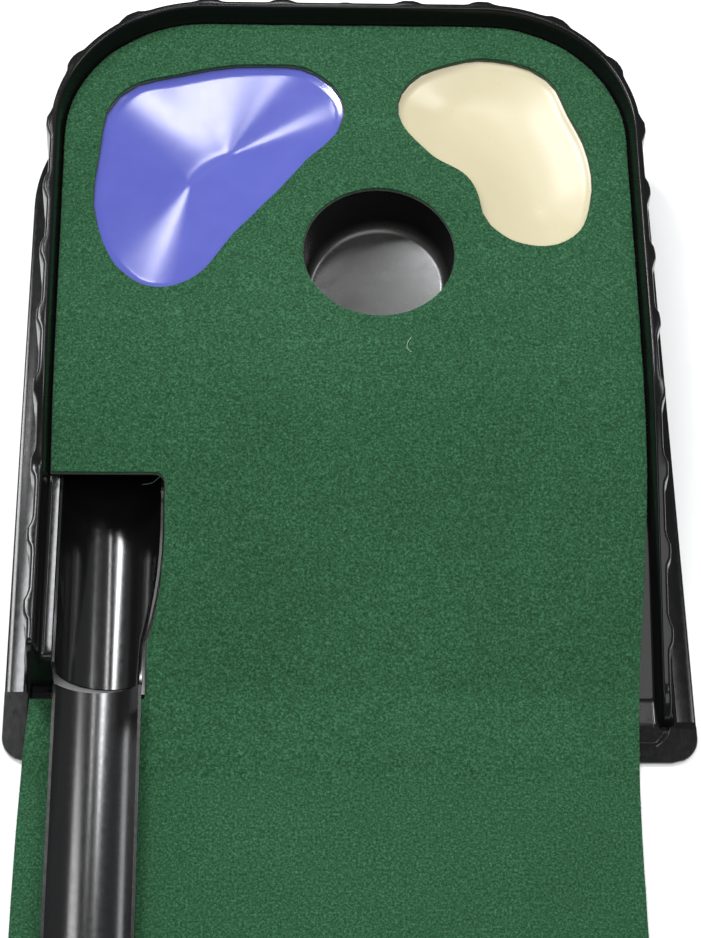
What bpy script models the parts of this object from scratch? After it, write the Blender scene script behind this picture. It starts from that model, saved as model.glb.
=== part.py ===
"""Practice putting mat with a ramp tray, cup, two hazards and a gravity ball return.

Metres, +Z up. +Y runs from the player to the cup, +X to the player's right. Shapes are
drawn in the tray's own frame, where y = 0 is the tray's front lip; the parent empty then
moves everything so that the origin lies under the middle of the whole object.
"""

import math

import bmesh
import bpy
from mathutils import Matrix, Vector

# ---------------------------------------------------------------- driving dimensions
# Tray
TRAY_SHEET = 0.0016
TRAY_FLANGE_HALF = 0.2285
KERB_FOOT_HALF = 0.2025
KERB_HEIGHT = 0.0195
KERB_DRAFT = 0.0030
KERB_TOP = 0.0052
KERB_SKIRT = 0.0070
KERB_NOSE = (0.026, 0.046)
FLUTE_DEPTH = 0.0034
FLUTE_PITCH = 0.0536
FLUTE_WIDTH = 0.022
BACK_FOOT = 0.5575
CORNER_RADIUS = 0.102
# Deck profile: flat lip, straight ramp, then a gentle slope round the cup
DECK_FLAT = TRAY_SHEET
RAMP_START = 0.042
RAMP_SLOPE = 0.34
GREEN_HEIGHT = 0.0546
GREEN_SLOPE = 0.055
RAMP_TOP_ROUND = 0.008
RAMP_FOOT_ROUND = 0.001
# Mat
MAT_HALF_WIDTH = 0.2015
MAT_LENGTH = 2.740
MAT_BACK = 0.5565
BACKING = 0.0012
PILE = 0.0018
TAPE = 0.0005
MAT_DRIFT = 0.0155
DRIFT_FROM = 0.210
DRIFT_OVER = 0.160
NOTCH_FRONT = 0.044
NOTCH_BACK = 0.190
NOTCH_CORNER = 0.007
LIP_RISE = (-0.016, 0.006)
BACKING_JOIN = -0.0215
# Cup
CUP_CENTRE = (0.0218, 0.359)
CUP_HOLE_RADIUS = 0.0530
CUP_MOUTH_RADIUS = 0.0545
CUP_FLOOR_RADIUS = 0.0500
CUP_FLOOR_HEIGHT = 0.0330
CUP_FLOOR_TILT = 0.145
CUP_EXIT_DEG = 218.0
CUP_FILLET = 0.006
CUP_RIM = 0.0085
LINER_SHEET = 0.0016
# Ball return
BALL = 0.0427
TROUGH_X = -0.1600
TROUGH_RADIUS = 0.0330
TROUGH_FRONT = 0.0495
TROUGH_BACK = 0.2250
TROUGH_LIP_Z = 0.0078
TROUGH_BACK_Z = 0.0090
TROUGH_RIM = 0.0040
TROUGH_END_WALL = 0.0085
CHANNEL_START_Z = 0.0250
CHANNEL_RADIUS = 0.0270
CHANNEL_LIP = 0.0088
TROUGH_WALL_TOP = 0.0005
CHANNEL_BEND = (0.080, 0.070)
LEDGE_EDGE_X = -0.1953
LEDGE_FRONT = 0.0512
LEDGE_HEIGHT = 0.0463
LEDGE_SLOPE = 0.018
# Hazard inserts
INSERT_SHEET = 0.0005
INSERT_RIM = 0.0060
INSERT_DEPTH = 0.0110
# Track
TRACK_X = -0.1665
TRACK_HALF_WIDTH = 0.0290
TRACK_DEPTH = 0.0130
TRACK_SHEET = 0.0009
TRACK_LIP = 0.0020
TRACK_SECTIONS = 4
TRACK_SECTION_LENGTH = 0.460
TRACK_START = 0.0470
TRACK_GAP = 0.0012
COUPLER_LENGTH = 0.056
COUPLER_SHEET = 0.0010
END_WALL = 0.0010
# Rivets
RIVET_HEAD = 0.0034
RIVET_HEAD_DEPTH = 0.0005
RIVET_SHANK = 0.0014
RIVET_HOLE = 0.0027
RIVET_REACH = 0.0043
# The tray's underside is cut level this far above the floor
FLOOR_TRIM = 0.0001
# Clearance that touching pieces keep
GAP = 0.0003

MAT_CLEARANCE = TAPE + 2 * GAP
MAT_THICKNESS = BACKING + GAP + PILE
KERB_OUT = KERB_DRAFT + KERB_TOP
FLANGE_OUT = TRAY_FLANGE_HALF - KERB_FOOT_HALF
TRAY_LENGTH = BACK_FOOT + FLANGE_OUT
MAT_FRONT = MAT_BACK - MAT_LENGTH
ORIGIN_SHIFT = -(TRAY_LENGTH + MAT_FRONT) / 2

# Outlines of the two hazards, as points on a smooth closed curve
WATER = [
    (-0.163, 0.492), (-0.118, 0.511), (-0.057, 0.520), (-0.022, 0.513), (-0.0016, 0.478),
    (-0.033, 0.431), (-0.080, 0.373), (-0.110, 0.335), (-0.130, 0.328), (-0.151, 0.335),
    (-0.175, 0.376), (-0.176, 0.441),
]
SAND = [
    (0.038, 0.478), (0.047, 0.506), (0.077, 0.523), (0.108, 0.527), (0.146, 0.511),
    (0.160, 0.480), (0.173, 0.441), (0.172, 0.400), (0.160, 0.374), (0.132, 0.365),
    (0.102, 0.381), (0.088, 0.420), (0.058, 0.445),
]


# ---------------------------------------------------------------- heights
def lower_of(a, b, rounding):
    return (a + b - math.sqrt((a - b) ** 2 + rounding**2)) / 2


def upper_of(a, b, rounding):
    return (a + b + math.sqrt((a - b) ** 2 + rounding**2)) / 2


def smooth(t):
    t = min(max(t, 0.0), 1.0)
    return t * t * (3 - 2 * t)


def deck(y):
    """Height of the tray's top face, a smooth run of flat lip, ramp and green."""
    ramp = upper_of(DECK_FLAT, RAMP_SLOPE * (y - RAMP_START), RAMP_FOOT_ROUND)
    return max(DECK_FLAT, lower_of(ramp, GREEN_HEIGHT + GREEN_SLOPE * y, RAMP_TOP_ROUND))


def deck_tilt(y):
    return math.atan2(deck(y + 0.004) - deck(y - 0.004), 0.008)


def ledge(y):
    """Height of the shelf left of the trough; it runs out into the deck."""
    if y < LEDGE_FRONT:
        return deck(y)
    return max(deck(y), LEDGE_HEIGHT + LEDGE_SLOPE * (y - LEDGE_FRONT))


def mat_base(y):
    """Underside of the mat: on the floor, over the tray's lip, then along the deck."""
    low, high = LIP_RISE
    return (deck(max(y, high)) + MAT_CLEARANCE) * smooth((y - low) / (high - low))


def drift(y):
    """How far the mat lies off to the left, out of the kerbs."""
    if y > DRIFT_FROM:
        return 0.0
    return -MAT_DRIFT * (1 - math.exp(-(((DRIFT_FROM - y) / DRIFT_OVER) ** 2)))


def trough_bottom(y):
    share = (y - TROUGH_FRONT) / (TROUGH_BACK - TROUGH_FRONT)
    return TROUGH_LIP_Z + share * (TROUGH_BACK_Z - TROUGH_LIP_Z)


def trough_right_top(y):
    return max(deck(y) + TROUGH_RIM, trough_bottom(y) + TROUGH_END_WALL)


def trough_right(y):
    """x of the trough's right wall at its top."""
    rise = min(trough_right_top(y) - trough_bottom(y), TROUGH_RADIUS)
    return TROUGH_X + math.sqrt(TROUGH_RADIUS**2 - (TROUGH_RADIUS - rise) ** 2)


def notch_edge(y):
    return trough_right(y) + LINER_SHEET + 2 * GAP


# ---------------------------------------------------------------- making objects
def clear_scene():
    for obj in list(bpy.data.objects):
        bpy.data.objects.remove(obj)


def collection(name):
    made = bpy.data.collections.new(name)
    bpy.context.scene.collection.children.link(made)
    return made


def material(name, colour, roughness, metallic=0.0):
    made = bpy.data.materials.new(name)
    made.use_nodes = True
    shader = made.node_tree.nodes["Principled BSDF"]
    shader.inputs["Base Color"].default_value = (*colour, 1)
    shader.inputs["Roughness"].default_value = roughness
    shader.inputs["Metallic"].default_value = metallic
    return made


def add_mesh(name, build, where, look=None, parent=None):
    """A new object whose mesh the function build makes in a bmesh."""
    mesh = bpy.data.meshes.new(name)
    work = bmesh.new()
    build(work)
    bmesh.ops.remove_doubles(work, verts=work.verts, dist=1e-6)
    work.to_mesh(mesh)
    work.free()
    obj = bpy.data.objects.new(name, mesh)
    where.objects.link(obj)
    obj.parent = parent
    if look:
        mesh.materials.append(look)
    return obj


def empty(name, place, parent=None):
    made = bpy.data.objects.new(name, None)
    made.location = place
    made.parent = parent
    bpy.context.scene.collection.objects.link(made)
    return made


def modifier(obj, kind, **settings):
    made = obj.modifiers.new(kind.title(), kind)
    for key, value in settings.items():
        setattr(made, key, value)
    return made


def solidify(obj, thickness):
    """A wall below, or outside, the surface as drawn."""
    modifier(obj, "SOLIDIFY", thickness=thickness, offset=-1, use_even_offset=True)


def smooth_round(obj, degrees=35):
    obj.data.shade_smooth()
    obj.data.set_sharp_from_angle(angle=math.radians(degrees))


def loft(work, rows, closed=False):
    """Faces between successive rows of points."""
    made = [[work.verts.new(point) for point in row] for row in rows]
    for first, second in zip(made, made[1:]):
        count = len(first) if closed else len(first) - 1
        for i in range(count):
            j = (i + 1) % len(first)
            work.faces.new((first[i], first[j], second[j], second[i]))
    return made


def closed_curve(points, steps=4):
    """Points of a smooth closed curve through the given ones."""
    curve = bpy.data.curves.new("guide", "CURVE")
    spline = curve.splines.new("BEZIER")
    spline.bezier_points.add(len(points) - 1)
    for knot, point in zip(spline.bezier_points, points):
        knot.co = (*point, 0)
        knot.handle_left_type = knot.handle_right_type = "AUTO"
    spline.use_cyclic_u = True
    spline.resolution_u = steps
    guide = bpy.data.objects.new("guide", curve)
    bpy.context.scene.collection.objects.link(guide)
    bpy.context.view_layer.update()
    mesh = guide.evaluated_get(bpy.context.evaluated_depsgraph_get()).to_mesh()
    found = [(v.co.x, v.co.y) for v in mesh.vertices]
    bpy.data.objects.remove(guide)
    area = sum(a[0] * b[1] - b[0] * a[1] for a, b in zip(found, found[1:] + found[:1]))
    return found if area > 0 else found[::-1]


def offset(outline, distance):
    """The closed outline, which runs anticlockwise, moved outwards."""
    moved = []
    for i, here in enumerate(outline):
        before, after = Vector(outline[i - 1]), Vector(outline[(i + 1) % len(outline)])
        along = (after - before).normalized()
        moved.append((here[0] + along.y * distance, here[1] - along.x * distance))
    return moved


def circle(centre, radius, count):
    turn = [2 * math.pi * i / count for i in range(count)]
    return [(centre[0] + radius * math.cos(a), centre[1] + radius * math.sin(a)) for a in turn]


def flat_plate(name, outlines, thickness, where, look=None, parent=None):
    """A flat outline with its holes, made a mesh with its underside at z = 0."""
    curve = bpy.data.curves.new(name, "CURVE")
    curve.dimensions = "2D"
    curve.fill_mode = "BOTH"
    curve.extrude = thickness / 2
    for outline in outlines:
        spline = curve.splines.new("POLY")
        spline.points.add(len(outline) - 1)
        for knot, point in zip(spline.points, outline):
            knot.co = (*point, 0, 1)
        spline.use_cyclic_u = True
    flat = bpy.data.objects.new(name + "_outline", curve)
    bpy.context.scene.collection.objects.link(flat)
    bpy.context.view_layer.update()
    graph = bpy.context.evaluated_depsgraph_get()
    mesh = bpy.data.meshes.new_from_object(flat.evaluated_get(graph))
    bpy.data.objects.remove(flat)
    work = bmesh.new()
    work.from_mesh(mesh)
    bmesh.ops.translate(work, verts=work.verts, vec=(0, 0, thickness / 2))
    bmesh.ops.remove_doubles(work, verts=work.verts, dist=1e-6)
    work.to_mesh(mesh)
    work.free()
    obj = bpy.data.objects.new(name, mesh)
    where.objects.link(obj)
    obj.parent = parent
    if look:
        mesh.materials.append(look)
    return obj


def drape(obj, height, stations):
    """Cuts a flat plate across at the stations and lifts it by height(y)."""
    work = bmesh.new()
    work.from_mesh(obj.data)
    for y in stations:
        everything = work.verts[:] + work.edges[:] + work.faces[:]
        bmesh.ops.bisect_plane(work, geom=everything, plane_co=(0, y, 0), plane_no=(0, 1, 0), dist=1e-7)
    for vert in work.verts:
        vert.co.z += height(vert.co.y)
    bmesh.ops.recalc_face_normals(work, faces=work.faces)
    work.to_mesh(obj.data)
    work.free()


def between(low, high, step):
    count = max(1, round((high - low) / step))
    return [low + (high - low) * i / count for i in range(count + 1)]


# Stations along the open trough, where its right rim climbs with the deck
TROUGH_YS = [0.063, 0.0775, 0.086, 0.096, 0.108, 0.122, 0.138, 0.154, 0.170, 0.180]
# Stations along y where a sheet that follows the deck is cut
DECK_STATIONS = (
    [0.0, 0.020, 0.034, 0.040, 0.044]
    + TROUGH_YS
    + between(0.190, 0.270, 0.010)
    + between(0.290, 0.550, 0.052)
)
LIP_STATIONS = between(LIP_RISE[0], LIP_RISE[1], 0.0037)


# ---------------------------------------------------------------- ramp tray
SLOT_FRONT = TROUGH_FRONT - 2 * GAP
TRAY_YS = sorted(
    {round(y, 5) for y in DECK_STATIONS if y < BACK_FOOT - CORNER_RADIUS}
    | {round(y, 5) for y in between(*KERB_NOSE, 0.004)}
    | {round(y, 5) for y in (SLOT_FRONT, LEDGE_FRONT - 2 * GAP, LEDGE_FRONT, TROUGH_BACK)}
)


def flute_edges():
    """Distances along the kerb at which a flute starts, tops out and ends."""
    found = set()
    for i in range(1, int((BACK_FOOT - CORNER_RADIUS) / FLUTE_PITCH) + 1):
        middle = (i + 0.5) * FLUTE_PITCH
        found |= {round(middle + shift * FLUTE_WIDTH / 2, 5) for shift in (-1, -0.35, 0.35, 1)}
    return {y for y in found if KERB_NOSE[1] + 0.004 < y < BACK_FOOT - CORNER_RADIUS - 0.003}


def flute(distance):
    """How far the outer wall stands out as a flute, 0 to 1."""
    if distance < KERB_NOSE[1] + 0.010:
        return 0.0
    away = abs((distance / FLUTE_PITCH) % 1 - 0.5) * FLUTE_PITCH
    return smooth((FLUTE_WIDTH / 2 - away) / (FLUTE_WIDTH * 0.325))


def kerb_share(side, y):
    """1 where the kerb stands at full height, falling to 0 at its front end."""
    if side < 0:
        return 1.0 if y >= LEDGE_FRONT - 1e-7 else 0.0
    low, high = KERB_NOSE
    t = min(max((y - low) / (high - low), 0.0), 1.0)
    return math.sqrt(1 - (1 - t) ** 2)


def kerb_row(side, place, out, distance):
    """Points from the kerb's foot over its top and down to the flange's edge."""
    x, y = place
    foot = ledge(y) if side < 0 else deck(y)
    share = kerb_share(side, y)
    top = foot + share * KERB_HEIGHT
    bulge = FLUTE_DEPTH * flute(distance) * share
    draft = KERB_DRAFT * (0.4 + 0.6 * share)

    def at(shift, z):
        return (x + out[0] * shift, y + out[1] * shift, z)

    return [
        at(0, foot),
        at(draft, top),
        at(KERB_OUT + bulge, top),
        at(KERB_OUT + KERB_SKIRT + bulge / 2, DECK_FLAT),
        at(FLANGE_OUT, DECK_FLAT),
    ]


def side_rows(side):
    """Kerb rows up one side and round its corner."""
    ys = sorted(set(TRAY_YS) | flute_edges())
    rows = [kerb_row(side, (side * KERB_FOOT_HALF, y), (side, 0.0), y) for y in ys]
    centre_x, centre_y = KERB_FOOT_HALF - CORNER_RADIUS, BACK_FOOT - CORNER_RADIUS
    steps = 18
    for i in range(steps + 1):
        angle = math.pi / 2 * i / steps
        out = (side * math.cos(angle), math.sin(angle))
        place = (side * centre_x + CORNER_RADIUS * out[0], centre_y + CORNER_RADIUS * out[1])
        rows.append(kerb_row(side, place, out, centre_y + CORNER_RADIUS * angle))
    return rows


def back_rows():
    """Kerb rows along the back, between the two corners."""
    half = KERB_FOOT_HALF - CORNER_RADIUS
    start = BACK_FOOT - CORNER_RADIUS + CORNER_RADIUS * math.pi / 2
    xs = between(-half, half, 0.0078)
    return [kerb_row(1, (x, BACK_FOOT), (0.0, 1.0), start + half - abs(x)) for x in xs]


def build_tray(work):
    left, right, back = side_rows(-1), side_rows(1), back_rows()
    loft(work, left)
    loft(work, right)
    loft(work, back)
    for before, after in zip(range(len(left)), range(1, len(left))):
        a, b = left[before][0], left[after][0]
        c, d = right[after][0], right[before][0]
        ring = [a, *slot_points(a[1]), d, c]
        if after == len(left) - 1:
            ring += [row[0] for row in back[-2:0:-1]]
        else:
            ring += slot_points(b[1])[::-1]
        ring.append(b)
        if in_slot(a[1]) and in_slot(b[1]):
            (left_a, right_a), (left_b, right_b) = slot_points(a[1]), slot_points(b[1])
            rings = [[a, left_a, left_b, b], [right_a, d, c, right_b]]
        else:
            rings = [ring]
        for points in rings:
            work.faces.new([work.verts.new(p) for p in points])


def in_slot(y):
    return SLOT_FRONT - 1e-7 <= y <= TROUGH_BACK + 1e-7


def slot_points(y):
    """The two edges of the gap in the deck over the ball return."""
    if not in_slot(y):
        return []
    hidden = 3 * GAP if y > NOTCH_BACK else 0.0
    return [(LEDGE_EDGE_X - hidden, y, ledge(y)), (notch_edge(y) - GAP + hidden, y, deck(y))]


def face_up(work):
    """Turns the whole open sheet so that its level faces look up."""
    bmesh.ops.remove_doubles(work, verts=work.verts, dist=1e-6)
    bmesh.ops.recalc_face_normals(work, faces=work.faces)
    level = max(work.faces, key=lambda face: abs(face.normal.z) * face.calc_area())
    if level.normal.z < 0:
        bmesh.ops.reverse_faces(work, faces=work.faces)


def sheet(name, build, thickness, where, look, parent):
    """An open surface given a wall below, or outside, the surface as drawn."""

    def build_up(work):
        build(work)
        face_up(work)

    made = add_mesh(name, build_up, where, look, parent)
    solidify(made, thickness)
    return made


# ---------------------------------------------------------------- cup, return and inserts
def cup_exit():
    angle = math.radians(CUP_EXIT_DEG)
    return Vector((math.cos(angle), math.sin(angle)))


def cup_floor(x, y):
    along = (Vector((x, y)) - Vector(CUP_CENTRE)).dot(cup_exit())
    return CUP_FLOOR_HEIGHT - CUP_FLOOR_TILT * along


def build_cup(work):
    """Rim under the deck, tapered wall, fillet and a floor that tips the ball out."""
    count = 48
    under = TRAY_SHEET + GAP
    rows = [
        [(x, y, deck(y) - under) for x, y in circle(CUP_CENTRE, CUP_MOUTH_RADIUS + CUP_RIM, count)],
        [(x, y, deck(y) - under) for x, y in circle(CUP_CENTRE, CUP_MOUTH_RADIUS, count)],
    ]
    for i in range(5):
        angle = math.pi / 2 * i / 4
        radius = CUP_FLOOR_RADIUS + CUP_FILLET * (math.cos(angle) - 1) + 0.0010
        lift = CUP_FILLET * (1 - math.sin(angle))
        rows.append([(x, y, cup_floor(x, y) + lift) for x, y in circle(CUP_CENTRE, radius, count)])
    made = loft(work, rows, closed=True)
    work.faces.new(made[-1])


def u_section(centre, across, bottom, radius, top_left, top_right, lip_left, lip_right):
    """Points of one cross-section of the return, from the left lip to the right one."""

    def at(shift, z):
        return (centre[0] + across[0] * shift, centre[1] + across[1] * shift, z)

    def side(sign, top, lip):
        rise = top - bottom
        reach = math.acos(max(1 - rise / radius, 0.0)) if rise < radius else math.pi / 2
        points = []
        for i in range(1, 7):
            angle = reach * i / 6
            points.append(at(sign * radius * math.sin(angle), bottom + radius * (1 - math.cos(angle))))
        edge = radius * math.sin(reach)
        last = bottom + radius * (1 - math.cos(reach))
        high = max(top, last + 0.0012)
        points.append(at(sign * edge, high))
        points.append(at(sign * (edge + lip), high + (0.0010 if lip == 0 else 0.0)))
        return points

    return side(-1, top_left, lip_left)[::-1] + [at(0, bottom)] + side(1, top_right, lip_right)


def channel_path():
    """Centre line of the covered part, from the cup to the open trough."""
    way = cup_exit()
    start = Vector(CUP_CENTRE) + way * 0.044
    end = Vector((TROUGH_X, TROUGH_BACK))
    out, back = CHANNEL_BEND
    knots = [start, start + way * out, end + Vector((0, back)), end]
    found = []
    for i in range(13):
        t = i / 12
        s = 1 - t
        place = s**3 * knots[0] + 3 * s * s * t * knots[1] + 3 * s * t * t * knots[2] + t**3 * knots[3]
        heading = (
            s * s * (knots[1] - knots[0]) + 2 * s * t * (knots[2] - knots[1]) + t * t * (knots[3] - knots[2])
        ).normalized()
        found.append((place, heading, t))
    return found


def build_channel(work):
    rows = []
    under = TRAY_SHEET + GAP
    for place, heading, t in channel_path()[:-1]:
        across = (-heading.y, heading.x)
        bottom = CHANNEL_START_Z + (TROUGH_BACK_Z - CHANNEL_START_Z) * t
        radius = CHANNEL_RADIUS + (TROUGH_RADIUS - CHANNEL_RADIUS) * smooth(t)
        row = u_section(place, across, bottom, radius, 0.070, 0.070, CHANNEL_LIP, CHANNEL_LIP)
        row = [(x, y, deck(y) - under - GAP if i in (0, 1, len(row) - 2, len(row) - 1) else z) for i, (x, y, z) in enumerate(row)]
        rows.append(row)
    across = (1.0, 0.0)
    for y in (0.2225, 0.218, 0.202, 0.1830):
        top = deck(y) - (under + GAP if y > 0.220 else 0.0004) - 0.0010
        rows.append(u_section((TROUGH_X, y), across, trough_bottom(y), TROUGH_RADIUS, top, top, 0.0, 0.0))
    for y in (*reversed(TROUGH_YS), TROUGH_FRONT):
        left = ledge(max(y, LEDGE_FRONT)) + TROUGH_WALL_TOP - 0.0010
        right = trough_right_top(y) - 0.0010
        rows.append(u_section((TROUGH_X, y), across, trough_bottom(y), TROUGH_RADIUS, left, right, 0.0, 0.0))
    loft(work, rows)


def build_insert(outline, work):
    lift = GAP + INSERT_SHEET
    shape = [(INSERT_RIM, 0.0), (0.0002, 0.0), (-0.0022, -0.0018), (-0.0060, -0.0066), (-0.0120, -0.0098), (-0.0210, -0.0110)]
    rows = []
    for distance, drop in shape:
        share = drop / -0.0110 * INSERT_DEPTH
        rows.append([(x, y, deck(y) + lift - share) for x, y in offset(outline, distance)])
    made = loft(work, rows, closed=True)
    work.faces.new(made[-1])


# ---------------------------------------------------------------- mat
def mat_outline(inset=0.0):
    """Anticlockwise outline of the mat as it lies, with the notch for the ball return."""
    half, back, radius = MAT_HALF_WIDTH - inset, MAT_BACK - inset, CORNER_RADIUS - 0.001 - inset
    bend = sorted(between(-0.170, DRIFT_FROM, 0.024))
    low = [y for y in bend if y < NOTCH_FRONT - 0.006]
    points = [(drift(-1) - half, MAT_FRONT + inset), (drift(-1) + half, MAT_FRONT + inset)]
    points += [(half + drift(y), y) for y in bend]
    for side, angles in ((1, range(0, 19)), (-1, range(18, -1, -1))):
        for i in angles:
            angle = math.pi / 2 * i / 18
            points.append((side * (half - radius + radius * math.cos(angle)), back - radius + radius * math.sin(angle)))
    points.append((-half, NOTCH_BACK + inset))
    corner = Vector((notch_edge(NOTCH_BACK) + inset - NOTCH_CORNER, NOTCH_BACK + inset - NOTCH_CORNER))
    for i in range(7):
        angle = math.pi / 2 * (1 - i / 6)
        points.append((corner.x + NOTCH_CORNER * math.cos(angle), corner.y + NOTCH_CORNER * math.sin(angle)))
    points += [(notch_edge(y) + inset, y) for y in (*reversed(TROUGH_YS), TROUGH_FRONT)]
    points.append((notch_edge(TROUGH_FRONT) + inset - 0.0008, NOTCH_FRONT - inset))
    points.append((drift(NOTCH_FRONT) - half, NOTCH_FRONT - inset))
    points += [(drift(y) - half, y) for y in reversed(low)]
    return points


def build_mat(name, lift, thickness, where, look, parent):
    water, sand = closed_curve(WATER, 3), closed_curve(SAND, 3)
    holes = [water, sand, circle(CUP_CENTRE, CUP_HOLE_RADIUS, 40)]
    made = flat_plate(name, [mat_outline(), *holes], thickness, where, look, parent)
    drape(made, lambda y: mat_base(y) + lift, [*LIP_STATIONS, *DECK_STATIONS])
    return made


def keep_side(obj, y, front):
    """Leaves only what lies in front of y, or behind it, and closes the cut."""
    work = bmesh.new()
    work.from_mesh(obj.data)
    everything = work.verts[:] + work.edges[:] + work.faces[:]
    made = bmesh.ops.bisect_plane(
        work, geom=everything, plane_co=(0, y, 0), plane_no=(0, 1, 0), dist=1e-7, clear_outer=front, clear_inner=not front
    )
    rim = [e for e in made["geom_cut"] if isinstance(e, bmesh.types.BMEdge)]
    bmesh.ops.edgeloop_fill(work, edges=rim)
    bmesh.ops.recalc_face_normals(work, faces=work.faces)
    work.to_mesh(obj.data)
    work.free()


def build_tape(name, x_low, x_high, y_low, y_high, where, look, parent):
    """A strip of double-sided tape that follows the deck under the mat."""

    def build(work):
        ys = sorted({y_low, y_high} | {y for y in DECK_STATIONS if y_low < y < y_high})
        loft(work, [[(x, y, deck(y) + GAP + TAPE) for x in (x_low, x_high)] for y in ys])

    return sheet(name, build, TAPE, where, look, parent)


# ---------------------------------------------------------------- track
def arc_profile(radius, half, count=12):
    """Points of a shallow U in x and z, its lowest point at 0."""
    reach = math.asin(half / radius)
    turn = [reach * (2 * i / count - 1) for i in range(count + 1)]
    return [(radius * math.sin(a), radius * (1 - math.cos(a))) for a in turn]


def track_radius():
    half = TRACK_HALF_WIDTH - TRACK_LIP
    return (half**2 + TRACK_DEPTH**2) / (2 * TRACK_DEPTH)


def build_track(length, work):
    """One straight length, its inner bottom line on the x axis, running to -y."""
    half = TRACK_HALF_WIDTH - TRACK_LIP
    profile = arc_profile(track_radius(), half)
    profile = [(-TRACK_HALF_WIDTH, profile[0][1]), *profile, (TRACK_HALF_WIDTH, profile[-1][1])]
    loft(work, [[(x, y, z) for x, z in profile] for y in (0.0, -length)])


def build_coupler(work):
    """A saddle under a joint, its upper face GAP below the two lengths."""
    radius = track_radius() + TRACK_SHEET + GAP
    profile = arc_profile(radius, TRACK_HALF_WIDTH - 0.0045, 10)
    half = COUPLER_LENGTH / 2
    loft(work, [[(x, y, z) for x, z in profile] for y in (half, -half)])


def build_end_stop(work):
    """A cap that wraps the last length's end and closes it with a wall."""
    radius = track_radius() + TRACK_SHEET + GAP
    profile = arc_profile(radius, TRACK_HALF_WIDTH - 0.0032, 12)
    rows = [[(x, y, z) for x, z in profile] for y in (0.012, 0.0)]
    made = loft(work, rows)
    work.faces.new(made[-1])


# ---------------------------------------------------------------- rivets
def build_rivet(tilt, work):
    """Flat head and shank, standing square to the deck."""
    turned = Matrix.Rotation(tilt, 3, "X")
    rows = []
    for radius, z in (
        (RIVET_HEAD, RIVET_HEAD_DEPTH), (RIVET_HEAD, 0.0), (RIVET_SHANK, 0.0), (RIVET_SHANK, -RIVET_REACH),
    ):
        rows.append([turned @ Vector((x, y, z)) for x, y in circle((0, 0), radius, 10)])
    made = loft(work, rows, closed=True)
    work.faces.new(made[0])
    work.faces.new(made[-1])
    bmesh.ops.recalc_face_normals(work, faces=work.faces)


def rivet_places():
    """(name, x, y) of every rivet through the deck."""
    found = []
    radius = CUP_MOUTH_RADIUS + CUP_RIM * 0.5
    for i, degrees in enumerate((335, 60, 140), 1):
        angle = math.radians(degrees)
        found.append((f"cup_rivet_{i}", CUP_CENTRE[0] + radius * math.cos(angle), CUP_CENTRE[1] + radius * math.sin(angle)))
    path = channel_path()
    count = 0
    for step in (5, 10):
        place, heading, t = path[step]
        half = CHANNEL_RADIUS + (TROUGH_RADIUS - CHANNEL_RADIUS) * smooth(t) + CHANNEL_LIP * 0.66
        for sign in (-1, 1):
            count += 1
            found.append((f"channel_rivet_{count}", place.x - heading.y * half * sign, place.y + heading.x * half * sign))
    return found


# ---------------------------------------------------------------- assembly
def prism(name, outline, low, high, where, parent):
    """A tall closed block over an outline, as a cutter."""

    def build(work):
        made = loft(work, [[(x, y, z) for x, y in outline] for z in (low, high)], closed=True)
        work.faces.new(made[0])
        work.faces.new(made[-1])
        bmesh.ops.recalc_face_normals(work, faces=work.faces)

    made = add_mesh(name, build, where, None, parent)
    made.hide_render = True
    made.display_type = "WIRE"
    return made


def cut(obj, cutters, solver="EXACT"):
    modifier(obj, "BOOLEAN", operation="DIFFERENCE", operand_type="COLLECTION", collection=cutters, solver=solver)


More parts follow.
